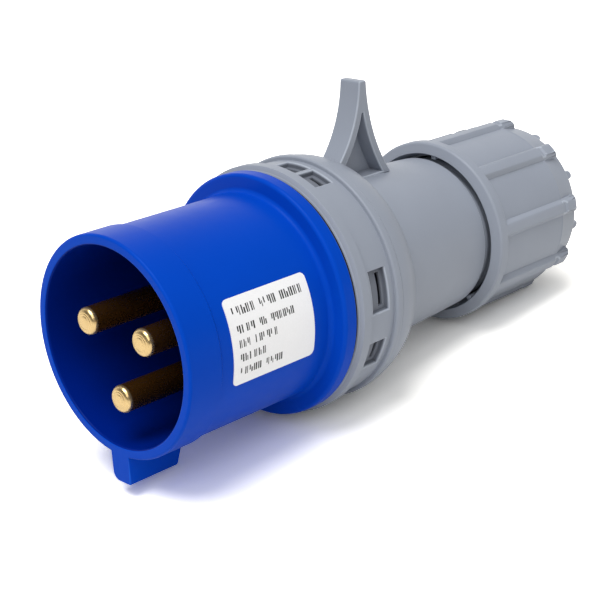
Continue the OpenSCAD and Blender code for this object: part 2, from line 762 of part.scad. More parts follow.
shroud();
label();
contact_pin(line_angle);  // line_pin
contact_pin(neutral_angle);  // neutral_pin
contact_pin(earth_angle);  // earth_pin
terminal_screw(line_angle);  // line_screw
terminal_screw(neutral_angle);  // neutral_screw
terminal_screw(earth_angle);  // earth_screw
terminal_cover();
cover_screw(cover_screw_angles[0]);  // cover_screw_left
cover_screw(cover_screw_angles[1]);  // cover_screw_right
flange_gasket();
housing();
cable_seal();
seal_insert();
slip_washer();
cable_clamp();
gland_nut();
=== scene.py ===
"""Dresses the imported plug: finishes, printed label, gland thread, stage, lights and camera."""

import json
import logging
import math
from dataclasses import dataclass
from enum import Enum
from typing import Any, Mapping, Optional, Sequence, Union

import bmesh
import bpy
import numpy as np
from mathutils import Matrix, Vector


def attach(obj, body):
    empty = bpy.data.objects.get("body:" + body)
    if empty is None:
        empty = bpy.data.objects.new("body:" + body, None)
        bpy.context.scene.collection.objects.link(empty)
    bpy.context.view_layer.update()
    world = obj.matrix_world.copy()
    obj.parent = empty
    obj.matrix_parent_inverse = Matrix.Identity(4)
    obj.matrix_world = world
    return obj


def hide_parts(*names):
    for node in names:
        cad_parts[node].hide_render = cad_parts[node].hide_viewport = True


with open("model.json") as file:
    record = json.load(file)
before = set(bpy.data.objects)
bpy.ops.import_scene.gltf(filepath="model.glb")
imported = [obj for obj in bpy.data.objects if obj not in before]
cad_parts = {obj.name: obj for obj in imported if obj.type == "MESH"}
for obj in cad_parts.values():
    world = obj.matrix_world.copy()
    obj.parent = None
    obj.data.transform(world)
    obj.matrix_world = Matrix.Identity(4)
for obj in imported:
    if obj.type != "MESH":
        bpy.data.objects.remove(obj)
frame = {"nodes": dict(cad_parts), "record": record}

LOG = logging.getLogger("plug")
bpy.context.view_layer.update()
MM = 0.001
# Points closer than this are one point
SAME_POINT = 0.001 * MM
# Least distance from the axis, and least length of a normal, that is divided by
ON_AXIS = 1e-9
NO_LENGTH = 1e-12
# Distance over which the mask of the painted shade on what lies inside rises by one
SLOPE = 0.2 * MM
# Name of the attribute that is one on rounded edges, where a highlight is painted
EDGE_HIGHLIGHT = "rubbed"

Colour = tuple[float, float, float]
Axis = tuple[float, float, float]
Number = Union[float, "Wire"]


class Body(Enum):
    """The CAD bodies that pieces ride on."""

    HOUSING = "housing_body"
    CLAMP = "clamp_body"
    NUT = "nut_body"


# ---------- shader nodes ----------


class Wire:
    """A value socket that takes part in arithmetic: each operator adds one Math node."""

    def __init__(self, bench: "Bench", socket: Any) -> None:
        """Keeps the bench that owns the nodes and the socket that gives the value."""
        self.bench = bench
        self.socket = socket

    def _math(self, operation: str, first: Number, second: Number = 0.0) -> "Wire":
        """Adds a Math node.

        Args:
            operation: the Math node's operation.
            first: its first operand.
            second: its second operand.

        Returns:
            The node's value.
        """
        node = self.bench.node("ShaderNodeMath", {"operation": operation}, {0: first, 1: second})
        return Wire(self.bench, node.outputs[0])

    def __add__(self, other: Number) -> "Wire":
        """Sum of both values."""
        return self._math("ADD", self, other)

    def __sub__(self, other: Number) -> "Wire":
        """This value less the other."""
        return self._math("SUBTRACT", self, other)

    def __rsub__(self, other: Number) -> "Wire":
        """The other value less this one."""
        return self._math("SUBTRACT", other, self)

    def __mul__(self, other: Number) -> "Wire":
        """Product of both values."""
        return self._math("MULTIPLY", self, other)

    __radd__ = __add__
    __rmul__ = __mul__

    def at_least(self, floor: Number) -> "Wire":
        """The larger of this value and the floor."""
        return self._math("MAXIMUM", self, floor)

    def sine(self) -> "Wire":
        """Sine of the value, in radians."""
        return self._math("SINE", self)


class Bench:
    """One material, or the world, and the nodes in it."""

    def __init__(self, name: str, world: bool = False) -> None:
        """Starts an empty node tree.

        Args:
            name: the material's or world's name.
            world: whether the tree is the world's.
        """
        self.owner = bpy.data.worlds.new(name) if world else bpy.data.materials.new(name)
        self.owner.use_nodes = True
        self.tree = self.owner.node_tree
        self.tree.nodes.clear()
        self.output = self.node("ShaderNodeOutputWorld" if world else "ShaderNodeOutputMaterial")

    def node(self, kind: str, settings: Optional[Mapping[str, Any]] = None,
             inputs: Optional[Mapping[Any, Any]] = None) -> Any:
        """Adds a node, sets it up and feeds its sockets.

        Args:
            kind: the node's type.
            settings: its own settings, such as an operation.
            inputs: values or links, by socket name or number.

        Returns:
            The new node.
        """
        made = self.tree.nodes.new(kind)
        for name, value in (settings or {}).items():
            setattr(made, name, value)
        for key, value in (inputs or {}).items():
            socket = made.inputs[key]
            if isinstance(value, Wire):
                self.tree.links.new(value.socket, socket)
            elif isinstance(value, bpy.types.NodeSocket):
                self.tree.links.new(value, socket)
            else:
                socket.default_value = value
        return made

    def coordinates(self) -> Any:
        """The piece's own coordinates, in metres."""
        return self.node("ShaderNodeTexCoord").outputs["Object"]

    def noise(self, size: float, detail: float = 2.0, roughness: float = 0.5) -> Wire:
        """Noise from 0 to 1.

        Args:
            size: size of its lumps in metres.
            detail: number of octaves.
            roughness: weight of the finer octaves.

        Returns:
            The noise value.
        """
        made = self.node("ShaderNodeTexNoise", {"noise_dimensions": "3D"}, {
            "Vector": self.coordinates(), "Scale": 1.0 / size, "Detail": detail,
            "Roughness": roughness})
        return Wire(self, made.outputs[0])

    def vector(self, operation: str, first: Any, second: Any = None) -> Any:
        """Adds a Vector Math node.

        Args:
            operation: the node's operation.
            first: its first vector, as values or a link.
            second: its second vector, where it takes one.

        Returns:
            The new node.
        """
        feed = {0: first} if second is None else {0: first, 1: second}
        return self.node("ShaderNodeVectorMath", {"operation": operation}, feed)

    def along(self, socket: Any, axis: Axis) -> Wire:
        """How far a vector reaches along an axis: their dot product."""
        return Wire(self, self.vector("DOT_PRODUCT", socket, axis).outputs["Value"])

    def blend(self, low: Union[Colour, Any], high: Colour, amount: Wire) -> Any:
        """Mixes two colours.

        Args:
            low: linear colour, or a colour socket, at 0.
            high: linear colour at 1.
            amount: how far towards the second colour.

        Returns:
            The mixed colour's socket.
        """
        # For colours, a Mix node takes them at sockets 6 and 7 and gives their mix at 2
        made = self.node("ShaderNodeMix", {"data_type": "RGBA"}, {
            0: amount, 6: (*low, 1.0) if isinstance(low, tuple) else low, 7: (*high, 1.0)})
        return made.outputs[2]

    def bump(self, height: Wire, depth: float, before: Any = None) -> Any:
        """Turns a height into a normal.

        Args:
            height: height from 0 to 1.
            depth: height of 1 in metres.
            before: a normal to build on.

        Returns:
            The normal's socket.
        """
        feed = {"Strength": 1.0, "Distance": depth, "Height": height}
        if before is not None:
            feed["Normal"] = before
        return self.node("ShaderNodeBump", None, feed).outputs[0]

    def close(self, shader: Any) -> Any:
        """Joins the last shader to the output.

        Args:
            shader: the shader's node.

        Returns:
            The finished material or world.
        """
        self.tree.links.new(shader.outputs[0], self.output.inputs[0])
        return self.owner

    def surface(self, **sockets: Any) -> bpy.types.Material:
        """Closes the material with one Principled shader.

        Args:
            **sockets: values or links, with spaces in names written as underscores.

        Returns:
            The finished material.
        """
        feed = {name.replace("_", " "): value for name, value in sockets.items()}
        return self.close(self.node("ShaderNodeBsdfPrincipled", None, feed))


def scaled(colour: Colour, share: float) -> Colour:
    """A colour made lighter or darker by one share."""
    return tuple(min(1.0, channel * share) for channel in colour)


@dataclass(frozen=True)
class PaintedShade:
    """Painted shade on what lies within a radius of the plug's axis, between two stations: its
    colour there.

    The stations' defaults take in the whole plug.
    """

    axes: "PlugAxes"
    radius: float
    colour: Colour
    front: float = -1.0
    back: float = 1.0

    def mask(self, bench: Bench) -> Wire:
        """How far a point is within the radius * behind the front * ahead of the back.

        Each of the three is counted in SLOPEs and is at least nought, so that the mask is nought
        outside and soon passes one inside. The radius counts one SLOPE further out.

        Args:
            bench: the material's nodes.

        Returns:
            The mask.
        """
        rear = tuple(self.axes.rear)
        away = bench.vector("SUBTRACT", bench.coordinates(), tuple(self.axes.mouth)).outputs[0]
        station = bench.along(away, rear)
        turned = bench.vector("CROSS_PRODUCT", away, rear).outputs[0]
        apart = Wire(bench, bench.vector("LENGTH", turned).outputs["Value"])
        within = (self.radius + SLOPE - apart) * (1 / SLOPE)
        behind = (station - self.front) * (1 / SLOPE)
        ahead = (self.back - station) * (1 / SLOPE)
        return within.at_least(0.0) * behind.at_least(0.0) * ahead.at_least(0.0)


@dataclass(frozen=True)
class MouldedPlastic:
    """Injection-moulded plastic: fine grain, slow cloudiness, handling marks, a painted highlight
    on rounded edges and, where given, painted shade inside hollows.
    """

    name: str
    colour: Colour
    roughness: float
    # Grain from the mould: size and depth
    grain: float = 0.22 * MM
    grain_depth: float = 0.006 * MM
    # Cloudiness in the colour: share and size
    cloud: float = 0.05
    cloud_size: float = 14 * MM
    # Handling marks in the gloss: size, and range of roughness between them
    smear_size: float = 5 * MM
    smear: float = 0.12
    # Shrinkage after moulding: length and depth of its waves
    wave: float = 9 * MM
    wave_depth: float = 0.03 * MM
    # Rounded edges: a painted highlight, its least strength where there are no marks, and its
    # colour
    least_highlight: float = 0.3
    rubbed: Colour = (0.41, 0.45, 0.52)
    specular: float = 0.5
    sheen_tint: Colour = (1.0, 1.0, 1.0)
    # Painted shade inside a hollow, where there is one
    inside: Optional[PaintedShade] = None

    def make(self) -> bpy.types.Material:
        """Builds the material.

        Returns:
            The finished material.
        """
        bench = Bench(self.name)
        clouds = bench.noise(self.cloud_size, detail=3.0)
        smears = bench.noise(self.smear_size, detail=4.0, roughness=0.6)
        grain = bench.noise(self.grain, detail=2.0, roughness=0.6)
        waves = bench.noise(self.wave, detail=1.0)
        darker, lighter = scaled(self.colour, 1 - self.cloud), scaled(self.colour, 1 + self.cloud)
        colour = bench.blend(darker, lighter, clouds)
        # Painted highlight on the rounded edges, patchy with the smear noise
        attribute = bench.node("ShaderNodeAttribute", {"attribute_name": EDGE_HIGHLIGHT})
        edges = Wire(bench, attribute.outputs["Fac"])
        colour = bench.blend(colour, self.rubbed, edges * (smears + self.least_highlight))
        # Painted shade inside the hollow that the mask takes in
        if self.inside:
            colour = bench.blend(colour, self.inside.colour, self.inside.mask(bench))
        sink = bench.bump(waves, self.wave_depth)
        return bench.surface(
            Base_Color=colour,
            Roughness=smears * self.smear + (self.roughness - self.smear / 2),
            Specular_IOR_Level=self.specular,
            Specular_Tint=(*self.sheen_tint, 1.0),
            Normal=bench.bump(grain, self.grain_depth, sink))


@dataclass(frozen=True)
class TurnedBrass:
    """Brass bar with the fine rings of a lathe: bright at its tip, with painted shade darkening
    its shank, which lies deep in the mouth.
    """

    name: str
    tip: Colour
    shank: Colour
    axes: "PlugAxes"
    # Station where the shank's painted shade begins, and the length over which it does
    shade_from: float = 1.5 * MM
    shade_over: float = 0.3 * MM
    # Lathe rings: distance between them, depth, how far they wander in radians and over what size
    ring: float = 0.35 * MM
    ring_depth: float = 0.0004 * MM
    wander: float = 3.0
    wander_size: float = 0.6 * MM
    # Tarnish: size, depth, colour against the bare metal's, and range of roughness
    tarnish_size: float = 1.1 * MM
    tarnish_depth: float = 0.004 * MM
    tarnish_shade: float = 0.82
    tarnish_rough: float = 0.12
    roughness: float = 0.22
    metallic: float = 0.9

    def make(self) -> bpy.types.Material:
        """Builds the material.

        Returns:
            The finished material.
        """
        bench = Bench(self.name)
        rear = self.axes.rear
        station = bench.along(bench.coordinates(), tuple(rear)) - float(self.axes.mouth @ rear)
        wobble = bench.noise(self.wander_size, detail=2.0)
        rings = (station * (2 * math.pi / self.ring) + wobble * self.wander).sine()
        tarnish = bench.noise(self.tarnish_size, detail=3.0, roughness=0.6)
        # Painted shade: the shank behind the tip is darker, as if in the mouth's shade
        shank_shade = (station - self.shade_from) * (1 / self.shade_over)
        bright = bench.blend(self.tip, scaled(self.tip, self.tarnish_shade), tarnish)
        pitted = bench.bump(tarnish, self.tarnish_depth)
        return bench.surface(
            Base_Color=bench.blend(bright, self.shank, shank_shade),
            Metallic=self.metallic,
            Roughness=tarnish * self.tarnish_rough + self.roughness,
            Normal=bench.bump(rings * 0.5 + 0.5, self.ring_depth, pitted))


@dataclass(frozen=True)
class Plain:
    """Any other small finish: paper, ink, rubber or plated steel, with its own grain."""

    name: str
    colour: Colour
    roughness: float
    metallic: float = 0.0
    # Grain: size, depth, change of colour to either side, and range of roughness
    grain: float = 0.4 * MM
    depth: float = 0.004 * MM
    shade: float = 0.05
    rough: float = 0.1

    def make(self) -> bpy.types.Material:
        """Builds the material.

        Returns:
            The finished material.
        """
        bench = Bench(self.name)
        grain = bench.noise(self.grain, detail=3.0, roughness=0.6)
        darker, lighter = scaled(self.colour, 1 - self.shade), scaled(self.colour, 1 + self.shade)
        return bench.surface(
            Base_Color=bench.blend(darker, lighter, grain),
            Metallic=self.metallic,
            Roughness=grain * self.rough + (self.roughness - self.rough / 2),
            Normal=bench.bump(grain, self.depth))


# ---------- places on the plug ----------


class PlugAxes:
    """Turns places about the plug's axis into places in the shared frame."""

    def __init__(self, record: Mapping[str, Any]) -> None:
        """Reads where the mouth is and where it looks.

        Args:
            record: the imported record, which holds the mounts.
        """
        mouth = next(mount for mount in record["mounts"] if mount["name"] == "connector_mouth")
        self.mouth = np.array(mouth["pos_m"])
        self.rear = -np.array(mouth["axis"]) / np.linalg.norm(mouth["axis"])
        self.side = np.array((1.0, 0.0, 0.0))
        self.up = np.cross(self.side, self.rear)

    def around(self, clock: np.ndarray) -> np.ndarray:
        """Unit vectors square to the axis: sin(clock) * side + cos(clock) * up."""
        return np.sin(clock)[..., None] * self.side + np.cos(clock)[..., None] * self.up

    def place(self, station: np.ndarray, radius: np.ndarray, clock: np.ndarray) -> np.ndarray:
        """Mouth + station * rear + radius * (sin(clock) * side + cos(clock) * up).

        Args:
            station: distance behind the rim, in metres.
            radius: distance from the axis, in metres.
            clock: angle from the fin towards +X, in radians.

        Returns:
            Points with the arguments' common shape and a last axis of three.
        """
        station, radius, clock = np.broadcast_arrays(station, radius, clock)
        return self.mouth + station[..., None] * self.rear + radius[..., None] * self.around(clock)


def grid_faces(rows: int, columns: int, start: int = 0) -> np.ndarray:
    """Quads of a grid whose points are numbered row by row.

    Args:
        rows: number of point rows.
        columns: number of points in a row.
        start: number of the first point.

    Returns:
        Point numbers, four to a face.
    """
    row, column = np.meshgrid(np.arange(rows - 1), np.arange(columns - 1), indexing="ij")
    corner = (start + row * columns + column).ravel()
    return np.stack([corner, corner + 1, corner + columns + 1, corner + columns], axis=1)


def make_piece(name: str, points: np.ndarray, faces: Union[np.ndarray, list[list[int]]],
               finish: bpy.types.Material, body: str,
               smooth_angle: float = 40.0) -> bpy.types.Object:
    """Puts points and faces into a mesh that rides on a body, with its poles and seams merged.

    Args:
        name: the piece's name.
        points: points in the shared frame.
        faces: point numbers of the faces.
        finish: the piece's material.
        body: the CAD body it moves with.
        smooth_angle: edges sharper than this, in degrees, stay sharp.

    Returns:
        The new object.
    """
    mesh = bpy.data.meshes.new(name)
    rows = faces if isinstance(faces, list) else faces.tolist()
    mesh.from_pydata(points.reshape(-1, 3), [], rows)
    shell = bmesh.new()
    shell.from_mesh(mesh)
    bmesh.ops.remove_doubles(shell, verts=shell.verts, dist=SAME_POINT)
    shell.to_mesh(mesh)
    shell.free()
    mesh.validate()
    mesh.materials.append(finish)
    mesh.polygons.foreach_set("use_smooth", np.ones(len(mesh.polygons), bool))
    mesh.set_sharp_from_angle(angle=math.radians(smooth_angle))
    piece = bpy.data.objects.new(name, mesh)
    bpy.context.scene.collection.objects.link(piece)
    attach(piece, body)
    LOG.info("%s: %d faces on %s", name, len(mesh.polygons), body)
    return piece


# ---------- pieces ----------


@dataclass
class RatingLabel:
    """White foil label on the sleeve, with rows of plain ticks where print would be."""

    axes: PlugAxes
    paper: bpy.types.Material
    ink: bpy.types.Material
    # Along the axis: station where it begins, and length
    start: float = 12.0 * MM
    length: float = 23.2 * MM
    # Round the axis: angle of its middle from the fin, and how far it goes round
    middle: float = math.radians(83.0)
    sweep: float = math.radians(44.5)
    # Radius below it, thickness, radius of its corners, and height of the ink on it
    radius: float = 23.62 * MM
    thickness: float = 0.16 * MM
    corner: float = 1.2 * MM
    ink_height: float = 0.012 * MM
    # Rows and columns of the foil's points, and points along a tick
    foil_grid: tuple[int, int] = (49, 25)
    tick_points: int = 5
    # Cell of one or two ticks: width against its height, and the share of it that they fill
    cell_width: float = 0.72
    printed: float = 0.86
    # First tick, in a cell 1 wide and from -1 to 1 high: width, lower ends to choose from
    tick_width: float = 0.3
    tick_feet: tuple[float, float] = (-1.0, -0.35)
    # Second tick: share of cells with it, left side, widths and upper ends to choose from
    second_share: float = 0.8
    second_left: float = 0.5
    second_widths: tuple[float, float] = (0.2, 0.36)
    second_heads: tuple[float, float] = (0.3, 1.0)
    seed: int = 7
    # Rows: middle and half height along the sweep, then the groups' spans along the label
    lines: Sequence[tuple[float, float, Sequence[tuple[float, float]]]] = (
        (0.16, 0.050, ((0.07, 0.35), (0.40, 0.60), (0.65, 0.93))),
        (0.36, 0.044, ((0.08, 0.30), (0.35, 0.44), (0.49, 0.78))),
        (0.52, 0.044, ((0.08, 0.22), (0.27, 0.55))),
        (0.68, 0.044, ((0.08, 0.40),)),
        (0.84, 0.044, ((0.08, 0.34), (0.39, 0.60))),
    )

    def build(self) -> None:
        """Makes the foil and its print, and lets the foil stand for the CAD label."""
        foil = self._foil()
        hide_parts("label")
        self._print()

    def _foil(self) -> bpy.types.Object:
        """A rounded rectangle wrapped on the sleeve: each row of its grid ends on the outline.

        Rows lie at half the width round the sleeve * the sine of an even parameter, so that they
        crowd at its ends. There a row is shorter by corner - sqrt(corner ** 2 - reach ** 2) on
        each side, where reach is how far the row lies past the corner's centre.

        Returns:
            The foil.
        """
        half = self.radius * self.sweep / 2
        rows, columns = self.foil_grid
        arc = np.sin(np.linspace(-math.pi / 2, math.pi / 2, rows)) * half
        reach = np.clip(np.abs(arc) - (half - self.corner), 0, None)
        cut = self.corner - np.sqrt(np.clip(self.corner ** 2 - reach ** 2, 0, None))
        across = np.linspace(0, 1, columns)
        station = self.start + cut[:, None] + across[None, :] * (self.length - 2 * cut[:, None])
        clock = self.middle + arc / self.radius
        top = self.axes.place(station, np.array(self.radius + self.thickness), clock[:, None])
        base = self.axes.place(station, np.array(self.radius), clock[:, None])
        count = rows * columns
        faces = grid_faces(rows, columns)
        rim = np.concatenate([
            np.arange(columns), np.arange(1, rows) * columns + columns - 1,
            count - 2 - np.arange(columns - 1), np.arange(rows - 2, 0, -1) * columns])
        after = np.roll(rim, -1)
        wall = np.stack([rim, rim + count, after + count, after], axis=1)
        points = np.concatenate([top.reshape(-1, 3), base.reshape(-1, 3)])
        faces = np.concatenate([faces[:, ::-1], faces + count, wall[:, ::-1]])
        return make_piece("label_foil", points, faces, self.paper,
                          Body.HOUSING.value)

    def _print(self) -> bpy.types.Object:
        """Rows of upright ticks in groups, which spell nothing, where small print would be.

        A tick's sides lie at start + length * (the group's low end + pitch * place in the group),
        and its ends at middle + sweep * (the row's middle - 0.5 - half its height * upright).

        Returns:
            All the ticks as one piece.
        """
        chance = np.random.default_rng(self.seed)
        points, faces, start = [], [], 0
        height = np.array(self.radius + self.thickness + self.ink_height)
        for row, half_row, words in self.lines:
            tall = 2 * half_row * self.sweep * self.radius / self.length
            for low, high in words:
                count = max(1, round((high - low) / (tall * self.cell_width)))
                pitch = (high - low) / count
                for mark in range(count):
                    for left, right, under, over in self._ticks(chance):
                        share = low + pitch * (mark + self.printed * np.array([left, right]))
                        station = (self.start + self.length * share)[None, :]
                        upright = np.linspace(under, over, self.tick_points)
                        turn = (row - 0.5 - half_row * upright)[:, None] * self.sweep
                        tick = self.axes.place(station, height, self.middle + turn)
                        points.append(tick.reshape(-1, 3))
                        faces.append(grid_faces(self.tick_points, 2, start))
                        start += 2 * self.tick_points
        return make_piece("label_print", np.concatenate(points), np.concatenate(faces), self.ink,
                          Body.HOUSING.value)

    def _ticks(self, chance: np.random.Generator) -> list[tuple[float, float, float, float]]:
        """Upright ticks of one cell, as left, right, lower and upper side: they spell nothing.

        Args:
            chance: the seeded random numbers.

        Returns:
            One or two ticks of unequal height, in a cell 1 wide and from -1 to 1 high.
        """
        low, high = chance.choice(self.tick_feet), chance.choice(self.second_heads)
        ticks = [(0.0, self.tick_width, low, 1.0)]
        if chance.random() < self.second_share:
            right = self.second_left + chance.choice(self.second_widths)
            ticks.append((self.second_left, right, -1.0, high))
        return ticks


@dataclass(frozen=True)
class TurnedNormals:
    """Gives a mesh the normals of the turned surface that its facets stand for."""

    axes: PlugAxes
    # A facet is part of a turned surface if its normal leans sideways by less than this
    sideways: float = 0.05
    # Cosine of the angle up to which neighbours are smoothed into each other
    keep: float = math.cos(math.radians(36))

    def apply(self, mesh: bpy.types.Mesh) -> None:
        """Sets each corner's normal to the area-weighted mean of the like faces round its point.

        On a turned facet, the normal at a point is the facet's own, swung round the axis to there.

        Args:
            mesh: the mesh, which is changed.
        """
        points = self._read(mesh.vertices, "co", 3)
        corner_point = self._read(mesh.loops, "vertex_index", 1, np.int32)
        sides = self._read(mesh.polygons, "loop_total", 1, np.int32)
        corner_face = np.repeat(np.arange(len(sides)), sides)
        face_normal = self._read(mesh.polygons, "normal", 3)
        area = self._read(mesh.polygons, "area", 1)
        at_point = self._outward(points)
        at_face = self._outward(self._read(mesh.polygons, "center", 3))
        across = np.cross(self.axes.rear, at_face)
        turned = np.abs((face_normal * across).sum(1)) < self.sideways
        outward = (face_normal * at_face).sum(1)[corner_face, None]
        endward = (face_normal @ self.axes.rear)[corner_face, None]
        smooth = outward * at_point[corner_point] + endward * self.axes.rear
        normal = np.where(turned[corner_face, None], smooth, face_normal[corner_face])
        normal /= np.linalg.norm(normal, axis=1, keepdims=True)
        # Corners are sorted by point, and each is paired with every corner at its point
        order = np.argsort(corner_point, kind="stable")
        _, first, count = np.unique(corner_point[order], return_index=True, return_counts=True)
        group = np.repeat(np.arange(len(count)), count)
        one = np.repeat(np.arange(len(order)), count[group])
        before = np.cumsum(count[group]) - count[group]
        step = np.arange(len(one)) - np.repeat(before, count[group])
        one, other = order[one], order[np.repeat(first[group], count[group]) + step]
        # A pair counts where its two normals are alike
        like = (normal[one] * normal[other]).sum(1) > self.keep
        weight = (area[corner_face[other]] * like)[:, None] * normal[other]
        total = np.zeros_like(normal)
        np.add.at(total, one, weight)
        total /= np.maximum(np.linalg.norm(total, axis=1, keepdims=True), NO_LENGTH)
        mesh.normals_split_custom_set(total.tolist())

    def _outward(self, points: np.ndarray) -> np.ndarray:
        """Unit vectors from the axis towards the points."""
        away = points - self.axes.mouth
        away = away - (away @ self.axes.rear)[:, None] * self.axes.rear
        return away / np.maximum(np.linalg.norm(away, axis=1, keepdims=True), ON_AXIS)

    @staticmethod
    def _read(items: Any, name: str, width: int, kind: type = np.float64) -> np.ndarray:
        """Reads one attribute of all the items as an array."""
        values = np.empty(len(items) * width, kind)
        items.foreach_get(name, values)
        return values.reshape(-1, width) if width > 1 else values


@dataclass(frozen=True)
class SoftEdges:
    """A copy of a CAD piece whose sharp outer edges are rounded as a mould leaves them."""

    normals: TurnedNormals
    node: str
    body: str
    slot: str
    width: float = 0.3 * MM
    segments: int = 3
    # Smallest angle of an edge that is rounded, and largest between triangles that are one face
    sharp: float = math.radians(28)
    flat: float = math.radians(0.6)
    # Width of a face, in rounds, below which its edges stay as they are
    room: float = 2.4

    def build(self, finish: bpy.types.Material) -> bpy.types.Object:
        """Merges the CAD mesh, joins its flat triangles and rounds the edges that have room.

        Args:
            finish: the piece's material.

        Returns:
            The rounded piece, which stands for the CAD node.
        """
        work = bmesh.new()
        work.from_mesh(frame["nodes"][self.node].data)
        bmesh.ops.remove_doubles(work, verts=work.verts, dist=SAME_POINT)
        bmesh.ops.dissolve_limit(work, angle_limit=self.flat, verts=work.verts, edges=work.edges)
        edges = [edge for edge in work.edges if self._has_room(edge)]
        bmesh.ops.bevel(work, geom=edges, offset=self.width, offset_type="OFFSET",
                        segments=self.segments, profile=0.5, affect="EDGES", clamp_overlap=False,
                        material=1)
        mesh = bpy.data.meshes.new(self.node + "_soft")
        work.to_mesh(mesh)
        work.free()
        # The rounds come out with material number 1, which becomes the attribute where a highlight
        # is painted
        on_edge = np.zeros(len(mesh.polygons), np.int32)
        mesh.polygons.foreach_get("material_index", on_edge)
        rubbed = mesh.attributes.new(EDGE_HIGHLIGHT, "FLOAT", "FACE")
        rubbed.data.foreach_set("value", on_edge.astype(np.float32))
        mesh.polygons.foreach_set("material_index", np.zeros_like(on_edge))
        mesh.materials.clear()
        mesh.materials.append(finish)
        mesh.polygons.foreach_set("use_smooth", np.ones(len(mesh.polygons), bool))
        self.normals.apply(mesh)
        piece = bpy.data.objects.new(self.node + "_soft", mesh)
        bpy.context.scene.collection.objects.link(piece)
        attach(piece, self.body)
        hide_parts(self.node)
        LOG.info("%s: %d edges rounded, %d faces", self.node, len(edges), len(mesh.polygons))
        return piece

    def _has_room(self, edge: bmesh.types.BMEdge) -> bool:
        """Whether an edge is sharp, turns outwards and lies between faces wide enough for it.

        Args:
            edge: the edge.

        Returns:
            True if it can be rounded.
        """
        sharp = len(edge.link_faces) == 2 and edge.calc_face_angle(0.0) >= self.sharp
        if not sharp or not edge.is_convex:
            return False
        start, end = edge.verts[0].co, edge.verts[1].co
        along = (end - start).normalized()
        for face in edge.link_faces:
            reach = max(((vert.co - start) - along * (vert.co - start).dot(along)).length
                        for vert in face.verts)
            if reach < self.room * self.width:
                return False
        return True


@dataclass(frozen=True)
class GlandThread:
    """Right-hand thread on the end of the housing: one ridge wound round it, lower at its ends."""

    axes: PlugAxes
    finish: bpy.types.Material
    # Stations of its two ends, and pitch
    start: float = 100.9 * MM
    end: float = 116.5 * MM
    pitch: float = 3.0 * MM
    # Radius of the core below it, height, how far it is sunk in, width at its foot and crest
    root: float = 17.4 * MM
    height: float = 0.55 * MM
    sunk: float = 0.1 * MM
    foot: float = 2.3 * MM
    crest: float = 0.8 * MM
    # Broken edge of the crest: half width, and the share of the height where it begins
    crest_edge: float = 0.1 * MM
    flank: float = 0.86
    # Sections in a turn
    steps: int = 72
    # From each end: rise in a turn, and least rise, as shares of the height
    rise_rate: float = 4.0
    least: float = 0.04

    def build(self) -> bpy.types.Object:
        """Winds the closed section of the ridge round the axis at an even pitch.

        At a share of the way, station = start + share * (end - start) + the section's own,
        angle = share * all turns, and radius = root + height in the section * rise.

        Returns:
            The ridge.
        """
        turns = (self.end - self.start) / self.pitch
        along = np.linspace(0.0, 1.0, int(turns * self.steps) + 1)
        rise = np.clip(np.minimum(along, 1 - along) * turns * self.rise_rate, self.least, 1.0)
        half, tip, soft = self.foot / 2, self.crest / 2, self.crest_edge
        section = np.array([
            (-half, -self.sunk), (-half, 0.0), (-tip - soft, self.flank * self.height),
            (-tip + soft, self.height), (tip - soft, self.height),
            (tip + soft, self.flank * self.height), (half, 0.0), (half, -self.sunk)])
        lift = np.where(section[:, 1] > 0, section[:, 1] * rise[:, None], section[:, 1])
        station = self.start + along[:, None] * (self.end - self.start) + section[:, 0]
        clock = np.broadcast_to(2 * math.pi * turns * along[:, None], station.shape)
        points = self.axes.place(station, self.root + lift, clock)
        rows, columns = station.shape
        row, column = np.meshgrid(np.arange(rows - 1), np.arange(columns), indexing="ij")
        here, beside = row * columns + column, row * columns + (column + 1) % columns
        sides = np.stack([here, here + columns, beside + columns, beside], axis=-1).reshape(-1, 4)
        last = rows * columns - 1
        caps = [list(range(columns)), list(range(last, last - columns, -1))]
        return make_piece("gland_thread", points, sides.tolist() + caps, self.finish,
                          Body.HOUSING.value, smooth_angle=30.0)


@dataclass(frozen=True)
class PinTips:
    """Slightly domed faces on the contact pins: a profile turned about each pin's own axis.

    A mount's place is the middle of the pin's straight length.
    """

    axes: PlugAxes
    finish: bpy.types.Material
    mounts: Sequence[Mapping[str, Any]]
    radius: float = 1.9 * MM
    rise: float = 0.2 * MM
    # Length of the pin's round, which lies before the mount's straight length
    corner: float = 1.1 * MM
    # Profile from the middle outwards and back: share of the radius and share of the rise
    profile: Sequence[tuple[float, float]] = (
        (0.0, 1.0), (0.2, 0.96), (0.4, 0.84), (0.55, 0.68), (0.66, 0.48), (0.72, 0.24),
        (0.78, 0.2), (0.84, 0.44), (0.9, 0.5), (0.95, 0.36), (1.0, -0.3), (0.0, -0.3))
    # Points round the axis, the first and the last in one place
    steps: int = 49

    def build(self) -> bpy.types.Object:
        """Turns the three faces.

        A point is the mount's place + radius * share * a unit vector square to the axis
        - (half the straight length + corner + rise * height) * rear.

        Returns:
            All three as one piece.
        """
        share, height = np.array(self.profile).T[:, :, None, None]
        clock = np.linspace(0, 2 * math.pi, self.steps)
        away = self.radius * share * self.axes.around(clock)
        points, faces = [], []
        for number, mount in enumerate(self.mounts):
            front = mount["dims"]["length_mm"] * MM / 2 + self.corner
            ahead = front + self.rise * height
            dome = np.array(mount["pos_m"]) + away - ahead * self.axes.rear
            points.append(dome.reshape(-1, 3))
            faces.append(grid_faces(*dome.shape[:2], number * dome.shape[0] * dome.shape[1]))
        return make_piece("pin_tips", np.concatenate(points), np.concatenate(faces), self.finish,
                          Body.HOUSING.value, smooth_angle=60.0)


# ---------- stage ----------


@dataclass(frozen=True)
class Lamp:
    """A far soft light: direction from the plug, strength, and how wide it looks."""

    name: str
    toward: Axis
    strength: float
    spread_degrees: float


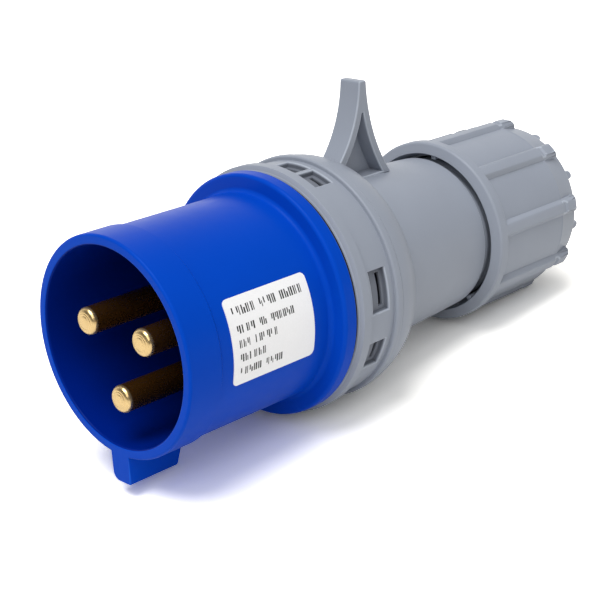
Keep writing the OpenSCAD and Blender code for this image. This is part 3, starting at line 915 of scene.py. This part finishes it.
@dataclass(frozen=True)
class Studio:
    """Plain white table and backdrop, soft light and the camera."""

    # Camera: place, direction of view, direction to its right, lens and sensor
    camera_at: Axis = (0.22796, -0.23125, 0.16037)
    camera_ahead: Axis = (-0.66371, 0.63312, -0.39831)
    camera_right: Axis = (0.71731, 0.68969, -0.09899)
    lens_mm: float = 90.0
    sensor_mm: float = 36.0
    # Floor: half width, level as light falls on it, how much brighter the camera sees it, tint
    floor_half: float = 3.0
    floor_colour: float = 0.9
    floor_gain: float = 1.9
    floor_tint: Colour = (1.0, 0.985, 0.95)
    # Light from the world: level, slope and least level along an axis
    sky_axis: Axis = (0.5, -0.4, 0.77)
    sky: tuple[float, float, float] = (0.26, 0.22, 0.05)
    # The same for what glossy surfaces mirror
    mirror_axis: Axis = (-0.8, 0.6, 0.0)
    mirror: tuple[float, float, float] = (-0.2, 1.6, 0.04)
    lamps: Sequence[Lamp] = (
        Lamp("key", toward=(0.06, -0.28, 1.0), strength=2.25, spread_degrees=36.0),
        Lamp("fill", toward=(0.6, -0.6, 0.75), strength=0.55, spread_degrees=36.0),
    )

    def build(self) -> None:
        """Makes floor, world, lamps and camera."""
        self._floor()
        self._world()
        self._lamps()
        self._camera()
        bpy.context.scene.view_settings.view_transform = "Standard"

    def _floor(self) -> None:
        """Lays a wide white sheet under the plug."""
        half = self.floor_half
        mesh = bpy.data.meshes.new("table")
        corners = [(-half, -half, 0), (half, -half, 0), (half, half, 0), (-half, half, 0)]
        mesh.from_pydata(corners, [], [(0, 1, 2, 3)])
        table = bpy.data.objects.new("table", mesh)
        bpy.context.scene.collection.objects.link(table)
        bench = Bench("table_white")
        path = bench.node("ShaderNodeLightPath")
        seen = Wire(bench, path.outputs["Is Camera Ray"]) * (self.floor_gain - 1)
        level = (seen + 1.0) * self.floor_colour
        # A Vector Math node that scales takes its factor at socket 3
        tinted = bench.node("ShaderNodeVectorMath", {"operation": "SCALE"}, {
            0: self.floor_tint, 3: level})
        white = bench.node("ShaderNodeBsdfDiffuse", None, {"Color": tinted.outputs[0]})
        mesh.materials.append(bench.close(white))

    def _world(self) -> None:
        """Makes the world: white where it is seen, brighter overhead, dim before the mouth."""
        bench = Bench("studio", world=True)
        path = bench.node("ShaderNodeLightPath")
        toward = bench.node("ShaderNodeTexCoord").outputs["Generated"]
        light = self._slope(bench, toward, self.sky_axis, self.sky)
        mirrored = self._slope(bench, toward, self.mirror_axis, self.mirror)
        glossy = Wire(bench, path.outputs["Is Glossy Ray"])
        seen = Wire(bench, path.outputs["Is Camera Ray"])
        strength = (light * (1.0 - glossy) + mirrored * glossy).at_least(seen)
        bpy.context.scene.world = bench.close(bench.node("ShaderNodeBackground", None, {
            "Color": (1, 1, 1, 1), "Strength": strength}))

    @staticmethod
    def _slope(bench: Bench, toward: Any, axis: Axis, law: tuple[float, float, float]) -> Wire:
        """A light level that rises evenly to one side: level + slope * (toward . axis).

        Args:
            bench: the world's nodes.
            toward: the direction looked in.
            axis: the side where it is brightest.
            law: level square to the axis, slope, and the least level.

        Returns:
            The level.
        """
        level, slope, least = law
        return (bench.along(toward, axis) * slope + level).at_least(least)

    def _lamps(self) -> None:
        """Hangs the lamps, each turned towards the plug."""
        for lamp in self.lamps:
            sun = bpy.data.lights.new(lamp.name, "SUN")
            sun.energy = lamp.strength
            sun.angle = math.radians(lamp.spread_degrees)
            holder = bpy.data.objects.new(lamp.name, sun)
            bpy.context.scene.collection.objects.link(holder)
            holder.location = lamp.toward
            holder.rotation_euler = (-Vector(lamp.toward)).to_track_quat("-Z", "Y").to_euler()

    def _camera(self) -> None:
        """Places the camera by its place and its own axes."""
        ahead = Vector(self.camera_ahead).normalized()
        right = Vector(self.camera_right)
        right = (right - ahead * right.dot(ahead)).normalized()
        up = right.cross(ahead)
        data = bpy.data.cameras.new("camera")
        data.lens = self.lens_mm
        data.sensor_width = self.sensor_mm
        camera = bpy.data.objects.new("camera", data)
        bpy.context.scene.collection.objects.link(camera)
        turn = Matrix((right, up, -ahead)).transposed().to_4x4()
        camera.matrix_world = Matrix.Translation(self.camera_at) @ turn
        bpy.context.scene.camera = camera


# ---------- the whole plug ----------


def make_finishes(axes: PlugAxes) -> dict[str, bpy.types.Material]:
    """Makes the finish of each material slot.

    Args:
        axes: the plug's axes.

    Returns:
        The materials by slot.
    """
    # Painted shade inside the mouth
    mouth = PaintedShade(axes, radius=21.8 * MM, colour=(0.0, 0.013, 0.2))
    # Painted shade in the recesses of the collar's windows
    window_shade = PaintedShade(axes, radius=26.7 * MM, colour=(0.15, 0.165, 0.2),
                     front=49.4 * MM, back=54.8 * MM)
    finishes = (
        # The blue's edge colour is a painted highlight on its rounded edges
        MouldedPlastic("shroud_blue", (0.001, 0.056, 0.48), roughness=0.33, specular=0.06,
                       sheen_tint=(0.5, 0.8, 1.0), rubbed=(0.015, 0.11, 0.62), inside=mouth),
        MouldedPlastic("housing_grey", (0.285, 0.313, 0.372), roughness=0.4, specular=0.25,
                       inside=window_shade),
        # The shank colour is painted shade of the mouth on the pins
        TurnedBrass("contact_brass", tip=(0.95, 0.68, 0.32), shank=(0.24, 0.1, 0.02), axes=axes),
        Plain("screw_steel", (0.6, 0.6, 0.61), roughness=0.35, metallic=1.0),
        Plain("seal_rubber", (0.012, 0.012, 0.013), roughness=0.6),
        Plain("washer_white", (0.7, 0.7, 0.68), roughness=0.5),
        MouldedPlastic("clamp_grey", (0.2, 0.21, 0.24), roughness=0.5),
    )
    return {finish.name: finish.make() for finish in finishes}


def dress_solids(finishes: Mapping[str, bpy.types.Material], slots: Mapping[str, str]) -> None:
    """Gives each CAD node the finish of its slot.

    Args:
        finishes: the materials by slot.
        slots: the slot of each node.
    """
    for node, solid in frame["nodes"].items():
        if slots[node] in finishes:
            solid.data.materials.clear()
            solid.data.materials.append(finishes[slots[node]])


def main() -> None:
    """Builds the finishes, pieces and stage in order."""
    logging.basicConfig(level=logging.INFO, format="%(name)s: %(message)s")
    record = frame["record"]
    axes = PlugAxes(record)
    finishes = make_finishes(axes)
    paper = Plain("label_paper", (0.92, 0.92, 0.93), roughness=0.42).make()
    ink = Plain("label_ink", (0.012, 0.012, 0.014), roughness=0.5).make()
    slots = {part["node"]: part["material_slot"] for part in record["subparts"]}
    dress_solids(finishes, slots)
    normals = TurnedNormals(axes)
    for node, body in (("shroud", Body.HOUSING), ("housing", Body.HOUSING),
                       ("gland_nut", Body.NUT), ("cable_clamp", Body.CLAMP)):
        SoftEdges(normals, node, body.value, slots[node]).build(finishes[slots[node]])
    RatingLabel(axes, paper, ink).build()
    GlandThread(axes, finishes["housing_grey"]).build()
    pins = [mount for mount in record["mounts"] if mount["name"].endswith("_contact")]
    PinTips(axes, finishes["contact_brass"], pins).build()
    Studio().build()


if __name__ == "__main__":
    main()
